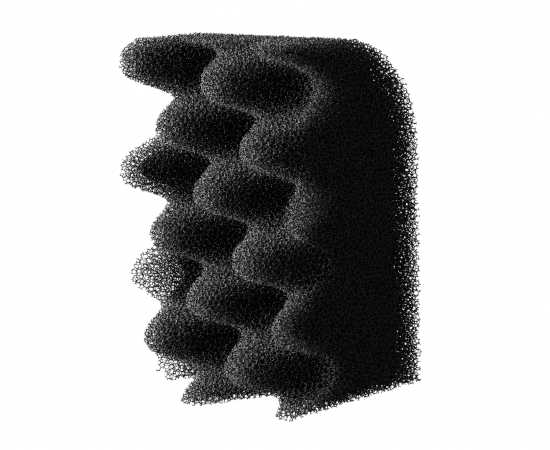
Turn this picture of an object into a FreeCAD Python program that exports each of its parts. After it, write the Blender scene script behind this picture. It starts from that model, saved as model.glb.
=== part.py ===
import FreeCAD, Part

"""Filter foam block: one piece of cut open-cell foam, convoluted on one face and flat on the others.

The block stands on end, in millimetres:
    +Z  up, with the flat bottom face at Z = 0
    -Y  the convoluted (egg-crate) face
    +Y  the flat back, whose top edge is rounded off
    X   across the block, with its middle at X = 0
The origin is the centre of the bottom of the bounding box.
"""
import math
import os

import Sketcher

PARTS_FOLDER = "parts"
NODE = "foam_block"

# alias: (value in millimetres or degrees, what it measures)
DIMENSIONS = {
    "block_width": (88.0, "across the convoluted face, along X"),
    "block_height": (150.0, "from the bottom face to the top face"),
    "base_depth": (56.0, "from the flat back to the bottom of the pits"),
    "peak_rise": (34.0, "from the bottom of a pit to the tip of a peak"),
    "back_edge_radius": (47.0, "rounding of the edge between the top and the back"),
    "pitch_across": (48.5, "peak to peak along a row"),
    "pitch_up": (45.5, "peak to peak up a column"),
    "lattice_across": (4.0, "from the middle of the block to the lattice's own peak, along X"),
    "lattice_up": (89.0, "from the bottom face to the lattice's own peak"),
    "lattice_turn": (-7.6, "how far the rows are turned from level, in degrees"),
    "wave_fullness": (0.45, "0 for a plain cosine; more makes the peaks and pits rounder and steeper"),
    "blank_allowance": (3.0, "how far the blank stands out past the peaks before the wave is cut"),
}

# How finely the wavy surface is sampled before a smooth surface is passed through the samples.
SAMPLES_PER_PITCH = 18
# How far the wavy tool solid runs past the block on each side, so that no faces coincide.
TOOL_MARGIN = 6.0


def make_sheet(doc):
    """The spreadsheet that holds every driving dimension, one row each, with its alias."""
    sheet = doc.addObject("Spreadsheet::Sheet", "Dimensions")
    for row, (alias, (value, meaning)) in enumerate(DIMENSIONS.items(), start=1):
        sheet.set(f"A{row}", alias)
        sheet.set(f"B{row}", str(value))
        sheet.setAlias(f"B{row}", alias)
        sheet.set(f"C{row}", meaning)
    doc.recompute()
    return sheet


def origin_plane(body, role):
    """One of the body's own origin planes, such as YZ_Plane."""
    return next(item for item in body.Origin.OriginFeatures if item.Role == role)


def name_constraint(sketch, constraint, name, expression):
    """Add a dimension to the sketch and bind it to the spreadsheet."""
    index = sketch.addConstraint(constraint)
    sketch.renameConstraint(index, name)
    sketch.setExpression(f"Constraints.{name}", expression)


def draw_side_outline(sketch, sheet):
    """The blank seen from its side: a rectangle with the top-back corner rounded.

    The sketch's X is the block's Y, and the sketch's Y is the block's Z.
    """
    half_depth = (sheet.base_depth + sheet.peak_rise) / 2
    reach = half_depth + sheet.blank_allowance
    height = sheet.block_height
    radius = sheet.back_edge_radius
    shoulder = height - radius
    arc_centre = FreeCAD.Vector(half_depth - radius, shoulder, 0)

    def point(across, up):
        return FreeCAD.Vector(across, up, 0)

    def line(start, end):
        return sketch.addGeometry(Part.LineSegment(start, end))

    bottom = line(point(-reach, 0), point(half_depth, 0))
    back = line(point(half_depth, 0), point(half_depth, shoulder))
    circle = Part.Circle(arc_centre, FreeCAD.Vector(0, 0, 1), radius)
    rounding = sketch.addGeometry(Part.ArcOfCircle(circle, 0, math.pi / 2))
    top = line(point(half_depth - radius, height), point(-reach, height))
    front = line(point(-reach, height), point(-reach, 0))

    start, end, root = 1, 2, -1
    sketch.addConstraint(Sketcher.Constraint("Coincident", bottom, end, back, start))
    sketch.addConstraint(Sketcher.Constraint("Tangent", back, end, rounding, start))
    sketch.addConstraint(Sketcher.Constraint("Tangent", rounding, end, top, start))
    sketch.addConstraint(Sketcher.Constraint("Coincident", top, end, front, start))
    sketch.addConstraint(Sketcher.Constraint("Coincident", front, end, bottom, start))
    sketch.addConstraint(Sketcher.Constraint("Horizontal", bottom))
    sketch.addConstraint(Sketcher.Constraint("Vertical", back))
    sketch.addConstraint(Sketcher.Constraint("Horizontal", top))
    sketch.addConstraint(Sketcher.Constraint("Vertical", front))
    sketch.addConstraint(Sketcher.Constraint("PointOnObject", bottom, start, root))

    half = "(Dimensions.base_depth + Dimensions.peak_rise) / 2"
    back_limit = Sketcher.Constraint("DistanceX", root, start, bottom, end, half_depth)
    name_constraint(sketch, back_limit, "back_reach", half)
    front_limit = Sketcher.Constraint("DistanceX", bottom, start, root, start, reach)
    name_constraint(sketch, front_limit, "front_reach", f"{half} + Dimensions.blank_allowance")
    height_limit = Sketcher.Constraint("DistanceY", front, end, front, start, height)
    name_constraint(sketch, height_limit, "height", "Dimensions.block_height")
    radius_limit = Sketcher.Constraint("Radius", rounding, radius)
    name_constraint(sketch, radius_limit, "radius", "Dimensions.back_edge_radius")


def make_blank(doc, sheet):
    """The block before its front is convoluted: the side outline padded across the block."""
    body = doc.addObject("PartDesign::Body", "Blank")
    sketch = body.newObject("Sketcher::SketchObject", "SideOutline")
    sketch.AttachmentSupport = (origin_plane(body, "YZ_Plane"), [""])
    sketch.MapMode = "FlatFace"
    draw_side_outline(sketch, sheet)
    doc.recompute()

    pad = body.newObject("PartDesign::Pad", "BlankPad")
    pad.Profile = sketch
    pad.SideType = "Symmetric"
    pad.setExpression("Length", "Dimensions.block_width")
    doc.recompute()
    return body


def face_depth(sheet, across, up):
    """Y of the convoluted face at a place on it: peaks and pits stand like a chessboard's squares."""
    turn = math.radians(sheet.lattice_turn)
    from_peak_across = across - sheet.lattice_across
    from_peak_up = up - sheet.lattice_up
    along_row = math.cos(turn) * from_peak_across + math.sin(turn) * from_peak_up
    up_column = math.cos(turn) * from_peak_up - math.sin(turn) * from_peak_across
    wave = math.cos(2 * math.pi * along_row / sheet.pitch_across)
    wave *= math.cos(2 * math.pi * up_column / sheet.pitch_up)
    wave *= 1 + sheet.wave_fullness * (1 - wave**2)
    middle = -sheet.base_depth / 2
    return middle - sheet.peak_rise / 2 * wave


def sample_range(low, high, pitch):
    """Evenly spaced places from low to high, close enough together to follow the wave."""
    count = math.ceil((high - low) / pitch * SAMPLES_PER_PITCH)
    return [low + (high - low) * step / count for step in range(count + 1)]


def make_wave_tool(doc, sheet):
    """Everything behind the convoluted face: the wavy surface swept backwards past the block."""
    half_width = sheet.block_width / 2 + TOOL_MARGIN
    across = sample_range(-half_width, half_width, sheet.pitch_across)
    up = sample_range(-TOOL_MARGIN, sheet.block_height + TOOL_MARGIN, sheet.pitch_up)
    grid = [[FreeCAD.Vector(x, face_depth(sheet, x, z), z) for z in up] for x in across]
    surface = Part.BSplineSurface()
    surface.interpolate(grid)
    sweep = FreeCAD.Vector(0, sheet.base_depth + sheet.peak_rise + TOOL_MARGIN, 0)
    tool = doc.addObject("Part::Feature", "WaveTool")
    tool.Shape = surface.toShape().extrude(sweep)
    tool.Placement = FreeCAD.Placement()
    return tool


def make_foam_block(doc, blank, tool):
    """The finished block: the part of the blank that lies behind the convoluted face."""
    block = doc.addObject("Part::Common", "FoamBlock")
    block.Base = blank
    block.Tool = tool
    block.Label = NODE
    doc.recompute()
    block.Placement = FreeCAD.Placement()
    return block


def check_objects(doc):
    """Stop if any object of the document failed to recompute."""
    for item in doc.Objects:
        if "Invalid" in item.State or "Error" in item.State:
            raise RuntimeError(f"{item.Label} did not recompute: {item.State}")


def check_shape(item):
    """Stop if a sub-part isn't one sound closed solid."""
    shape = item.Shape
    if shape.isNull() or not shape.isValid() or len(shape.Solids) != 1:
        raise RuntimeError(f"{item.Label} is not one valid solid")


def main():
    doc = FreeCAD.newDocument("FilterFoamBlock")
    sheet = make_sheet(doc)
    blank = make_blank(doc, sheet)
    tool = make_wave_tool(doc, sheet)
    block = make_foam_block(doc, blank, tool)
    doc.recompute()
    check_objects(doc)
    check_shape(block)

    os.makedirs(PARTS_FOLDER, exist_ok=True)
    block.Shape.exportStep(os.path.join(PARTS_FOLDER, f"{block.Label}.step"))
    box = block.Shape.optimalBoundingBox()
    print(f"{block.Label}: {box.XLength:.2f} x {box.YLength:.2f} x {box.ZLength:.2f} mm")
    print(f"volume {block.Shape.Volume / 1000:.1f} cm3, faces {len(block.Shape.Faces)}")


main()
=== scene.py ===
import math
from itertools import combinations

import bpy
import numpy as np
from mathutils import Euler, Matrix, Vector
from mathutils.bvhtree import BVHTree


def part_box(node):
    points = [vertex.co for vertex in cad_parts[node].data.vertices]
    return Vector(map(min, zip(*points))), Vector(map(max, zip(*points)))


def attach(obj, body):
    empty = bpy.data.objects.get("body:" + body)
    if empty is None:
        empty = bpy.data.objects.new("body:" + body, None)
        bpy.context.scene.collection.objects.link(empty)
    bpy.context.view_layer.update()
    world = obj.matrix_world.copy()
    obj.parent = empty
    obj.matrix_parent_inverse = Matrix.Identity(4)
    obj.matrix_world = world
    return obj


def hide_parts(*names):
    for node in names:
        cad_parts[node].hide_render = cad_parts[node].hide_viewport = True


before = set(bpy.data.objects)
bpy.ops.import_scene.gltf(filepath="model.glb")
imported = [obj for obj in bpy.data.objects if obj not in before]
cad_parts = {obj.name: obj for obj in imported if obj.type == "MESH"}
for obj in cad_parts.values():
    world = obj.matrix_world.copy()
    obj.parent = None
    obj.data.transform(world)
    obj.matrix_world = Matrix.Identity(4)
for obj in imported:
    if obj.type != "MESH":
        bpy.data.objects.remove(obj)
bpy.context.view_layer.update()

MM = 0.001
NODE = "foam_block"
BODY = "root"

# Foam, in metres. A cell is one bubble of the foam, about 2.9 mm across.
CELL_VOLUME = 12.5 * MM**3
CELLS_PER_TILE = 686
STRUT_SIZE = 0.222 * MM
STRUT_SIZE_SPREAD = 0.18
TILE_TURN = Euler((math.radians(23), math.radians(-34), math.radians(17)))
SPREAD_ROUNDS = 60
EVEN_OUT_ROUNDS = 4
SEED = 20

# The cut, in metres: how far past the block's surface its struts may reach, the band over which its last
# joints come and go, the share of a cut strut's length that is missing at most, and the share that always
# stays. Then the rounds of closing in on where a strut is cut, and of dropping joints that came loose.
CUT_PAST = 0.4 * MM
RAGGED = 0.8 * MM
SNAPPED = 0.4
SHORTEST_STUB = 0.05
CUT_STEPS = 10
CRUMB_ROUNDS = 2

# Core, in metres: how far its faces lie under the block's, how round its front and back edges are, and how
# far struts reach into it.
CORE_INSET = 5.4 * MM
CORE_SIDE_INSET = 3.0 * MM
CORE_FRONT_ROUNDING = 3.0 * MM
CORE_BACK_ROUNDING = 13.0 * MM
CORE_OVERLAP = 0.8 * MM

# The meshes: how many layers the struts are parted into, and how finely the block and the core are sampled.
LAYERS = 16
GRID_STEP = 0.5 * MM
CORE_STEP = 1.2 * MM
RAY_START = 10 * MM
RAY_MARGIN = 0.02 * MM


# ---------------------------------------------------------------- the block's shape, read from the frame

class BlockShape:
    """The CAD block as two height fields over its (x, z) rectangle: its front face and its back."""

    def __init__(self, node):
        low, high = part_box(NODE)
        self.low = np.array(low)
        self.high = np.array(high)
        self.xs = np.linspace(low.x, high.x, round((high.x - low.x) / GRID_STEP) + 1)
        self.zs = np.linspace(low.z, high.z, round((high.z - low.z) / GRID_STEP) + 1)
        mesh = node.data
        tree = BVHTree.FromPolygons([v.co for v in mesh.vertices], [p.vertices for p in mesh.polygons])
        self.front = self.cast(tree, low.y - RAY_START, 1.0)
        self.back = self.cast(tree, high.y + RAY_START, -1.0)
        self.front_slant = self.slant(self.front)
        self.back_slant = self.slant(self.back)

    def cast(self, tree, start, way):
        """Y where a ray along Y first meets the block, at every place of the grid."""
        direction = Vector((0, way, 0))
        low = self.low + RAY_MARGIN
        high = self.high - RAY_MARGIN
        field = np.empty((len(self.xs), len(self.zs)))
        for i, x in enumerate(np.clip(self.xs, low[0], high[0])):
            for j, z in enumerate(np.clip(self.zs, low[2], high[2])):
                hit = tree.ray_cast(Vector((x, start, z)), direction)[0]
                field[i, j] = hit.y if hit else np.nan
        return field

    def slant(self, field):
        """How much longer the way through the surface is along Y than straight across it."""
        across, up = np.gradient(field, GRID_STEP)
        return np.sqrt(1 + across**2 + up**2)

    def read(self, field, x, z):
        """A field's value at any (x, z), by bilinear interpolation."""
        u = np.clip((x - self.xs[0]) / GRID_STEP, 0, len(self.xs) - 1.001)
        v = np.clip((z - self.zs[0]) / GRID_STEP, 0, len(self.zs) - 1.001)
        i = u.astype(int)
        j = v.astype(int)
        fu = u - i
        fv = v - j
        lower = field[i, j] * (1 - fu) + field[i + 1, j] * fu
        upper = field[i, j + 1] * (1 - fu) + field[i + 1, j + 1] * fu
        return lower * (1 - fv) + upper * fv

    def rim(self, x, z):
        """Distance to the nearest of the two sides, the top and the bottom."""
        beside = np.minimum(x - self.low[0], self.high[0] - x)
        above = np.minimum(z - self.low[2], self.high[2] - z)
        return np.minimum(beside, above)

    def faces(self, points):
        """Distances inwards from the front face and from the back."""
        x, y, z = points[..., 0], points[..., 1], points[..., 2]
        front = (y - self.read(self.front, x, z)) / self.read(self.front_slant, x, z)
        back = (self.read(self.back, x, z) - y) / self.read(self.back_slant, x, z)
        return front, back

    def depth(self, points):
        """How deep points lie inside the block; negative outside it."""
        front, back = self.faces(points)
        return np.minimum(np.minimum(front, back), self.rim(points[..., 0], points[..., 2]))

    def core_depth(self, points):
        """How deep points lie inside the core; negative outside it."""
        rim = self.rim(points[..., 0], points[..., 2])
        front, back = self.faces(points)
        front = front - core_inset(rim, CORE_FRONT_ROUNDING)
        back = back - core_inset(rim, CORE_BACK_ROUNDING)
        return np.minimum(np.minimum(front, back), rim - CORE_SIDE_INSET)


def core_inset(rim, rounding):
    """How far a face of the core lies under the block's, which grows round the core's edges."""
    short = np.clip(CORE_SIDE_INSET + rounding - rim, 0, rounding)
    return CORE_INSET + rounding - np.sqrt(rounding**2 - short**2)


# ---------------------------------------------------------------- one tile of foam

def spread_points(count, side, rng):
    """The bubbles' middles: random points in a cube that repeats, pushed apart to even spacing."""
    wide = 1.25
    push_share = 0.3
    points = rng.random((count, 3)) * side
    reach = wide * side / count ** (1 / 3)
    for _ in range(SPREAD_ROUNDS):
        gap = points[:, None] - points[None]
        gap -= side * np.round(gap / side)
        distance = np.sqrt((gap**2).sum(2))
        np.fill_diagonal(distance, reach)
        push = np.clip(1 - distance / reach, 0, None) / distance
        points = (points + push_share * reach * (gap * push[..., None]).sum(1)) % side
    return points


def cell_corners(points, side, neighbours=26):
    """Corners of the Voronoi cells: each is as far from four bubbles' middles as from any other."""
    wide = 1.1
    flattest = 1e-4
    triples = np.array(list(combinations(range(neighbours), 3)))
    reach = wide * side / len(points) ** (1 / 3)
    tolerance = 1e-7 * reach**2
    fours, corners = [], []
    for index, point in enumerate(points):
        gap = points - point
        gap -= side * np.round(gap / side)
        distance = (gap**2).sum(1)
        distance[index] = np.inf
        near = np.argsort(distance)[:neighbours]
        around = gap[near]
        planes = around[triples]
        solvable = np.abs(np.linalg.det(planes / reach)) > flattest
        planes = planes[solvable]
        half_squares = 0.5 * (planes**2).sum(2)
        found = np.linalg.solve(planes, half_squares[..., None])[..., 0]
        beyond = found @ around.T - 0.5 * (around**2).sum(1)
        real = (beyond <= tolerance).all(1)
        real &= (found**2).sum(1) < reach**2
        members = near[triples[solvable][real]]
        own = np.full((len(members), 1), index)
        fours.append(np.sort(np.hstack([own, members]), axis=1))
        corners.append(point + found[real])
    fours = np.concatenate(fours)
    fours, first = np.unique(fours, axis=0, return_index=True)
    return fours, np.concatenate(corners)[first] % side


def join_corners(fours, corners, side):
    """For each corner, its four neighbours along the cells' edges, the slot that each neighbour keeps it in,
    and how many tiles away the neighbour is along each axis."""
    base = len(fours) + 1
    triples = np.stack([np.delete(fours, k, axis=1) for k in range(4)], axis=1)
    keys = ((triples[..., 0] * base + triples[..., 1]) * base + triples[..., 2]).ravel()
    order = np.argsort(keys, kind="stable")
    same = keys[order][:-1] == keys[order][1:]
    ends = order[:-1][same], order[1:][same]
    neighbour = np.full(len(keys), -1)
    slot = np.full(len(keys), -1)
    for a, b in (ends, ends[::-1]):
        neighbour[a] = b // 4
        slot[a] = b % 4
    neighbour = neighbour.reshape(-1, 4)
    away = corners[neighbour] - corners[:, None]
    return neighbour, slot.reshape(-1, 4), -np.round(away / side).astype(int)


class FoamTile:
    """A cube of foam that repeats in all directions: where its struts meet, and how they are joined."""

    def __init__(self, rng):
        self.side = (CELLS_PER_TILE * CELL_VOLUME) ** (1 / 3)
        points = spread_points(CELLS_PER_TILE, self.side, rng)
        fours, self.corners = cell_corners(points, self.side)
        self.neighbour, self.slot, self.shift = join_corners(fours, self.corners, self.side)
        self.even_out()
        size = STRUT_SIZE * (1 + STRUT_SIZE_SPREAD * rng.standard_normal(len(self.corners)).clip(-2, 2))
        ways = self.edges()
        ways /= np.linalg.norm(ways, axis=2, keepdims=True)
        self.ways = ways
        # Each joint is a small tetrahedron, with a tip opposite each strut and a face towards it.
        self.tips = -ways * size[:, None, None]

    def edges(self):
        """Vectors from each corner to its four neighbours."""
        return self.corners[self.neighbour] + self.shift * self.side - self.corners[:, None]

    def even_out(self):
        """Draw each joint halfway to the middle of its neighbours, as surface tension does."""
        for _ in range(EVEN_OUT_ROUNDS):
            self.corners = self.corners + 0.5 * self.edges().mean(axis=1)


# ---------------------------------------------------------------- the strut network of the whole block

OTHER_SLOTS = np.array([[1, 2, 3], [0, 2, 3], [0, 1, 3], [0, 1, 2]])


def facing_tips(tile):
    """For each joint and slot, the three tips round the face towards that strut, anticlockwise from it."""
    tips = tile.tips[:, OTHER_SLOTS]
    normal = np.cross(tips[:, :, 1] - tips[:, :, 0], tips[:, :, 2] - tips[:, :, 0])
    backwards = (normal * tile.ways).sum(2) < 0
    faces = np.broadcast_to(OTHER_SLOTS, (len(tips), 4, 3)).copy()
    faces[backwards] = faces[backwards][:, ::-1]
    return faces


def matching_tips(tile, faces):
    """For each joint and slot, the neighbour's three tips in the order that twists the strut least."""
    far = faces[tile.neighbour, tile.slot][..., ::-1]
    near_tips = np.take_along_axis(tile.tips[:, None], faces[..., None], axis=2)
    best, least = None, None
    for turn in range(3):
        order = np.roll(far, turn, axis=2)
        far_tips = np.take_along_axis(tile.tips[tile.neighbour], order[..., None], axis=2)
        twist = ((far_tips - near_tips) ** 2).sum((2, 3))
        if best is None:
            best, least = order, twist
        else:
            better = twist < least
            best = np.where(better[..., None], order, best)
            least = np.minimum(twist, least)
    return best


class Network:
    """Copies of the tile that fill the block's shell. A joint's index is its row in place and corner."""

    def __init__(self, tile, shape, rng):
        self.tile = tile
        self.shape = shape
        self.rng = rng
        self.turn = np.array(TILE_TURN.to_matrix())
        self.middle = (shape.low + shape.high) / 2
        self.choose_joints()
        self.faces = facing_tips(tile)
        self.matches = matching_tips(tile, self.faces)
        tips = tile.corners[self.corner][:, None] + tile.tips[self.corner]
        self.tips = self.to_row(tips, self.place[:, None]).reshape(-1, 3)

    def to_row(self, points, place):
        """Points of the tile, moved to its copy at a place and turned into the block's frame."""
        moved = points + (place + self.first) * self.tile.side
        return moved @ self.turn.T + self.middle

    def choose_joints(self):
        """Keep the joints that lie inside the block, up to its ragged edge, and not deep in its core."""
        tile, shape = self.tile, self.shape
        cube = np.array([[x, y, z] for x in (0, 1) for y in (0, 1) for z in (0, 1)])
        reach = (shape.low + cube * (shape.high - shape.low) - self.middle) @ self.turn / tile.side
        self.first = np.floor(reach.min(0)).astype(int) - 1
        count = np.ceil(reach.max(0)).astype(int) + 1 - self.first
        inside = np.zeros((*count, len(tile.corners)), bool)
        kept = np.zeros_like(inside)
        for place in np.ndindex(*count):
            joints = self.to_row(tile.corners, np.array(place))
            near = ((joints > shape.low) & (joints < shape.high)).all(1)
            near[near] = shape.depth(joints[near]) > RAGGED * (self.rng.random(near.sum()) - 0.5)
            inside[place] = near
            near[near] = shape.core_depth(joints[near]) < CORE_OVERLAP
            kept[place] = near
        for _ in range(CRUMB_ROUNDS):
            kept = self.drop_crumbs(kept)
        self.inside = inside
        found = np.argwhere(kept)
        self.place, self.corner = found[:, :3], found[:, 3]
        self.index = np.full(kept.shape, -1)
        self.index[kept] = np.arange(len(found))

    def drop_crumbs(self, kept):
        """Leave out joints that no whole strut joins to the rest, as those would fall off the real block."""
        found = np.argwhere(kept)
        place = found[:, None, :3] + self.tile.shift[found[:, 3]]
        others = self.tile.neighbour[found[:, 3]]
        held = kept[place[..., 0], place[..., 1], place[..., 2], others].sum(1)
        loose = found[held == 0]
        kept[tuple(loose.T)] = False
        return kept

    def half_struts(self):
        """Every strut as seen from each kept joint: that joint, its slot, the far joint or -1, and whether
        the far end lies inside the block."""
        joint = np.repeat(np.arange(len(self.corner)), 4)
        slot = np.tile(np.arange(4), len(self.corner))
        corner = self.corner[joint]
        place = self.place[joint] + self.tile.shift[corner, slot]
        at = (place[:, 0], place[:, 1], place[:, 2], self.tile.neighbour[corner, slot])
        return joint, slot, self.index[at], self.inside[at], place, at[3]


def cut_ends(network, near, far):
    """Where the edges of cut struts end: at the block's surface, or up to the share SNAPPED short of it."""
    low = np.zeros(near.shape[:2])
    high = np.ones(near.shape[:2])
    for _ in range(CUT_STEPS):
        middle = (low + high) / 2
        inside = network.shape.depth(near + (far - near) * middle[..., None]) > -CUT_PAST
        low = np.where(inside, middle, low)
        high = np.where(inside, high, middle)
    left = 1 - SNAPPED * network.rng.random((len(near), 1))
    share = np.maximum(low * left, SHORTEST_STUB)
    return near + (far - near) * share[..., None]


def strut_sides(start, end):
    """Three four-sided faces from each start triangle to its end triangle."""
    return np.concatenate([
        np.column_stack([start[:, i], start[:, (i + 1) % 3], end[:, (i + 1) % 3], end[:, i]])
        for i in range(3)
    ])


def part_faces(points, quads, quad_layer, triangles, triangle_layer):
    """One (points, quads, triangles) for each layer, with only the points that its own faces use."""
    meshes = []
    for number in range(LAYERS):
        own_quads = quads[quad_layer == number]
        own_triangles = triangles[triangle_layer == number]
        corners = np.concatenate([own_quads.ravel(), own_triangles.ravel()])
        used, renumbered = np.unique(corners, return_inverse=True)
        split = own_quads.size
        meshes.append((points[used], renumbered[:split].reshape(-1, 4), renumbered[split:].reshape(-1, 3)))
    return meshes


def build_strut_layers(network):
    """The network's mesh, parted into layers from the bottom up: a list of (points, quads, triangles)."""
    joint, slot, far_joint, far_inside, far_place, far_corner = network.half_struts()
    corner = network.corner[joint]
    near_face = 4 * joint[:, None] + network.faces[corner, slot]
    match = network.matches[corner, slot]
    far_face = 4 * far_joint[:, None] + match

    heights = network.tips[::4, 2]
    bounds = np.quantile(heights, np.linspace(0, 1, LAYERS + 1)[1:-1])
    layer = np.searchsorted(bounds, heights)

    whole = far_joint > joint
    joined = far_joint >= 0
    crossing = joined & (layer[joint] != layer[far_joint])
    cut = ~joined & ~far_inside
    deep = ~joined & far_inside

    tips = network.tile.tips[far_corner[cut][:, None], match[cut]]
    far_tips = network.tile.corners[far_corner[cut]][:, None] + tips
    far_points = network.to_row(far_tips, far_place[cut][:, None])
    ends = cut_ends(network, network.tips[near_face[cut]], far_points)
    end_face = len(network.tips) + np.arange(3 * cut.sum()).reshape(-1, 3)
    points = np.concatenate([network.tips, ends.reshape(-1, 3)])

    quads = np.concatenate([
        strut_sides(near_face[whole], far_face[whole]),
        strut_sides(near_face[cut], end_face),
    ])
    quad_layer = np.concatenate([np.tile(layer[joint[whole]], 3), np.tile(layer[joint[cut]], 3)])
    capped = whole & crossing
    closed = deep | (joined & ~whole & crossing)
    triangles = np.concatenate([end_face, far_face[capped], near_face[closed]])
    triangle_layer = np.concatenate([layer[joint[cut]], layer[joint[capped]], layer[joint[closed]]])
    return part_faces(points, quads, quad_layer, triangles, triangle_layer)


def add_mesh(name, points, quads, triangles):
    """A smooth-shaded mesh object from numpy arrays of points and faces."""
    mesh = bpy.data.meshes.new(name)
    loops = np.concatenate([quads.ravel(), triangles.ravel()]).astype(np.int32)
    sizes = np.concatenate([np.full(len(quads), 4), np.full(len(triangles), 3)])
    starts = np.concatenate([[0], np.cumsum(sizes)[:-1]]).astype(np.int32)
    mesh.vertices.add(len(points))
    mesh.vertices.foreach_set("co", points.astype(np.float32).ravel())
    mesh.loops.add(len(loops))
    mesh.loops.foreach_set("vertex_index", loops)
    mesh.polygons.add(len(sizes))
    mesh.polygons.foreach_set("loop_start", starts)
    mesh.polygons.foreach_set("use_smooth", np.ones(len(sizes), bool))
    mesh.update(calc_edges=True)
    piece = bpy.data.objects.new(name, mesh)
    bpy.context.scene.collection.objects.link(piece)
    return piece


# ---------------------------------------------------------------- the core

def shell_faces(columns, rows):
    """The faces of a closed shell: a grid of points in front, the same grid behind, and the rim between."""
    number = np.arange(columns * rows).reshape(columns, rows)
    behind = number + number.size
    corners = number[:-1, :-1], number[1:, :-1], number[1:, 1:], number[:-1, 1:]
    front_faces = np.stack(corners, axis=-1).reshape(-1, 4)
    back_faces = front_faces[:, ::-1] + number.size
    ring, ring_behind = [
        np.concatenate([grid[:-1, 0], grid[-1, :-1], grid[:0:-1, -1], grid[0, :0:-1]])
        for grid in (number, behind)
    ]
    rim_faces = np.column_stack([np.roll(ring, -1), ring, ring_behind, np.roll(ring_behind, -1)])
    return np.concatenate([front_faces, back_faces, rim_faces])


def build_core(shape):
    """A closed body under the struts that stops light as the deep foam does, its near-black colour painted
    shade: the block shrunk by the inset, with rounded edges.
    """
    step = CORE_STEP
    low = shape.low + CORE_SIDE_INSET
    high = shape.high - CORE_SIDE_INSET
    xs = np.linspace(low[0], high[0], round((high[0] - low[0]) / step) + 1)
    zs = np.linspace(low[2], high[2], round((high[2] - low[2]) / step) + 1)
    x, z = np.meshgrid(xs, zs, indexing="ij")
    rim = shape.rim(x, z)
    front_inset = core_inset(rim, CORE_FRONT_ROUNDING) * shape.read(shape.front_slant, x, z)
    back_inset = core_inset(rim, CORE_BACK_ROUNDING) * shape.read(shape.back_slant, x, z)
    front = shape.read(shape.front, x, z) + front_inset
    back = shape.read(shape.back, x, z) - back_inset
    middle = (front + back) / 2
    front = np.minimum(front, middle - step / 4)
    back = np.maximum(back, middle + step / 4)
    points = np.concatenate([np.stack([x, y, z], axis=-1).reshape(-1, 3) for y in (front, back)])
    return add_mesh("foam_core", points, shell_faces(*x.shape), np.empty((0, 3), int))


# ---------------------------------------------------------------- materials

def new_material(name):
    """An empty node material, with its tree, its shader and the object's own coordinates."""
    material = bpy.data.materials.new(name)
    material.use_nodes = True
    tree = material.node_tree
    tree.nodes.clear()
    shader = tree.nodes.new("ShaderNodeBsdfPrincipled")
    output = tree.nodes.new("ShaderNodeOutputMaterial")
    tree.links.new(shader.outputs["BSDF"], output.inputs["Surface"])
    coordinates = tree.nodes.new("ShaderNodeTexCoord")
    return material, tree, shader, coordinates.outputs["Object"]


def noise(tree, coordinates, size):
    """Soft noise with blotches of about this size in metres."""
    node = tree.nodes.new("ShaderNodeTexNoise")
    node.inputs["Scale"].default_value = 1 / size
    node.inputs["Detail"].default_value = 2.0
    tree.links.new(coordinates, node.inputs["Vector"])
    return node.outputs["Fac"]


def ramp(tree, value, low, high, dark, light):
    """Colour from dark to light as value goes from low to high."""
    node = tree.nodes.new("ShaderNodeValToRGB")
    node.color_ramp.elements[0].position = low
    node.color_ramp.elements[0].color = (*dark, 1)
    node.color_ramp.elements[1].position = high
    node.color_ramp.elements[1].color = (*light, 1)
    tree.links.new(value, node.inputs["Fac"])
    return node.outputs["Color"]


def spread(tree, value, low, high):
    """Map a noise value from its usual range, 0.3 to 0.7, onto low to high."""
    node = tree.nodes.new("ShaderNodeMapRange")
    node.inputs["From Min"].default_value = 0.3
    node.inputs["From Max"].default_value = 0.7
    node.inputs["To Min"].default_value = low
    node.inputs["To Max"].default_value = high
    tree.links.new(value, node.inputs["Value"])
    return node.outputs["Result"]


def strut_material():
    """Black polyurethane: satin struts whose colour and shine vary a little from strut to strut."""
    dark = (0.022, 0.022, 0.022)
    light = (0.05, 0.05, 0.051)
    material, tree, shader, coordinates = new_material("foam_struts")
    colour = ramp(tree, noise(tree, coordinates, size=1.3 * MM), 0.3, 0.7, dark, light)
    roughness = spread(tree, noise(tree, coordinates, size=2.1 * MM), 0.3, 0.48)
    tree.links.new(colour, shader.inputs["Base Color"])
    tree.links.new(roughness, shader.inputs["Roughness"])
    shader.inputs["Specular IOR Level"].default_value = 0.5
    return material


def core_shade_material():
    """Painted shade: a near-black stand-in for the deep of the foam, darker than the struts' own colour,
    where next to no light reaches.
    """
    # Painted shade: the core's near-black colour stands for deep struts that light does not reach, not a
    # darker material.
    dark = (0.012, 0.012, 0.012)
    light = (0.024, 0.024, 0.024)
    material, tree, shader, coordinates = new_material("foam_deep_painted_shade")
    colour = ramp(tree, noise(tree, coordinates, size=2.8 * MM), 0.35, 0.65, dark, light)
    tree.links.new(colour, shader.inputs["Base Color"])
    shader.inputs["Roughness"].default_value = 1.0
    shader.inputs["Specular IOR Level"].default_value = 0.05
    return material


# ---------------------------------------------------------------- studio

# The camera: where it stands round the block, how it is tilted, its distance in metres and its lens.
AZIMUTH = math.radians(43.8)
ELEVATION = math.radians(9.6)
ROLL = math.radians(-1.48)
DISTANCE = 0.818
LENS_MM = 124.8
SENSOR_MM = 36.0
# The line of sight passes this far behind the block's middle, and this far right of it and above it.
AIM_BEHIND_MIDDLE = 0.017
AIM_RIGHT = -0.00997
AIM_UP = -0.00712

# The width of the pixel filter, the world's light on the object, and how far the floor reaches each way.
PIXEL_FILTER = 1.2
WORLD_LIGHT = 0.16
FLOOR_REACH = 6.0
# Each light's name, direction from the block's middle, distance, width in metres, and power in watts.
LIGHTS = [
    ("key", (-0.61, -0.78, 0.17), 1.2, 1.4, 103),
    ("rim", (-0.9, 0.3, 0.0), 1.2, 0.5, 15),
]


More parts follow.
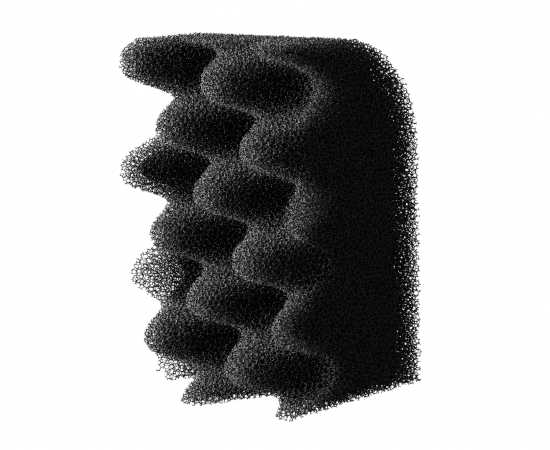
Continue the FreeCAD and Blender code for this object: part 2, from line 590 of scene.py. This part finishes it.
def add_camera(middle):
    """A long lens a little above the block's middle, off its front right edge."""
    flat = math.cos(ELEVATION)
    back = Vector((math.sin(AZIMUTH) * flat, -math.cos(AZIMUTH) * flat, math.sin(ELEVATION)))
    level = Vector((math.cos(AZIMUTH), math.sin(AZIMUTH), 0))
    upright = back.cross(level)
    right = level * math.cos(ROLL) + upright * math.sin(ROLL)
    up = upright * math.cos(ROLL) - level * math.sin(ROLL)
    place = middle + back * DISTANCE + right * AIM_RIGHT + up * AIM_UP
    camera = bpy.data.objects.new("camera", bpy.data.cameras.new("camera"))
    camera.matrix_world = Matrix.Translation(place) @ Matrix((right, up, back)).transposed().to_4x4()
    camera.data.sensor_width = SENSOR_MM
    camera.data.lens = LENS_MM
    camera.data.clip_start = 0.01
    camera.data.clip_end = 50
    bpy.context.scene.collection.objects.link(camera)
    bpy.context.scene.camera = camera


def add_area_light(name, place, target, size, power):
    """A round soft light that faces its target."""
    light = bpy.data.lights.new(name, "AREA")
    light.shape = "DISK"
    light.size = size
    light.energy = power
    lamp = bpy.data.objects.new(name, light)
    lamp.location = place
    lamp.rotation_euler = (target - Vector(place)).to_track_quat("-Z", "Y").to_euler()
    bpy.context.scene.collection.objects.link(lamp)


def add_floor(height):
    """A plain white floor that shines evenly at the camera and casts no light on the object."""
    signs = [(-1, -1), (1, -1), (1, 1), (-1, 1)]
    corners = [(x * FLOOR_REACH, y * FLOOR_REACH, height) for x, y in signs]
    mesh = bpy.data.meshes.new("floor")
    mesh.from_pydata(corners, [], [(0, 1, 2, 3)])
    floor = bpy.data.objects.new("floor", mesh)
    material, tree, shader, _ = new_material("floor")
    shader.inputs["Base Color"].default_value = (0, 0, 0, 1)
    shader.inputs["Roughness"].default_value = 1.0
    shader.inputs["Specular IOR Level"].default_value = 0.0
    shader.inputs["Emission Color"].default_value = (1, 1, 1, 1)
    shader.inputs["Emission Strength"].default_value = 1.0
    mesh.materials.append(material)
    floor.visible_diffuse = False
    floor.visible_glossy = False
    bpy.context.scene.collection.objects.link(floor)


def add_world():
    """White behind the object, and a weak even light on it."""
    world = bpy.data.worlds.new("studio")
    world.use_nodes = True
    tree = world.node_tree
    background = tree.nodes["Background"]
    background.inputs["Color"].default_value = (1, 1, 1, 1)
    path = tree.nodes.new("ShaderNodeLightPath")
    strength = tree.nodes.new("ShaderNodeMapRange")
    strength.inputs["To Min"].default_value = WORLD_LIGHT
    strength.inputs["To Max"].default_value = 1.0
    tree.links.new(path.outputs["Is Camera Ray"], strength.inputs["Value"])
    tree.links.new(strength.outputs["Result"], background.inputs["Strength"])
    bpy.context.scene.world = world


def add_lights(middle):
    """A large soft key from the front left, a little above level, and a weaker light from the left behind."""
    for name, way, distance, size, power in LIGHTS:
        add_area_light(name, middle + Vector(way).normalized() * distance, middle, size, power)


def build_pieces(shape):
    """The foam's pieces: its struts in layers, and the core under them."""
    rng = np.random.default_rng(SEED)
    tile = FoamTile(rng)
    network = Network(tile, shape, rng)
    struts = strut_material()
    pieces = []
    for number, (points, quads, triangles) in enumerate(build_strut_layers(network), start=1):
        piece = add_mesh(f"foam_layer_{number:02d}", points, quads, triangles)
        piece.data.materials.append(struts)
        pieces.append(piece)
    # The core: a body under the struts whose near-black colour is painted shade.
    core = build_core(shape)
    core.data.materials.append(core_shade_material())
    pieces.append(core)
    return pieces


def build_studio(shape):
    """The camera, the floor, the lights and how the picture is made of them."""
    middle = Vector((shape.low + shape.high) / 2)
    add_camera(middle + Vector((0, AIM_BEHIND_MIDDLE, 0)))
    add_floor(float(shape.low[2]))
    add_world()
    add_lights(middle)
    scene = bpy.context.scene
    scene.view_settings.view_transform = "Standard"
    # A denoiser would smear struts about a pixel wide, and so would a wide pixel filter.
    scene.cycles.use_denoising = False
    scene.cycles.filter_width = PIXEL_FILTER


def main():
    shape = BlockShape(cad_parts[NODE])
    for piece in build_pieces(shape):
        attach(piece, BODY)
        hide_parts(NODE)
    build_studio(shape)


main()
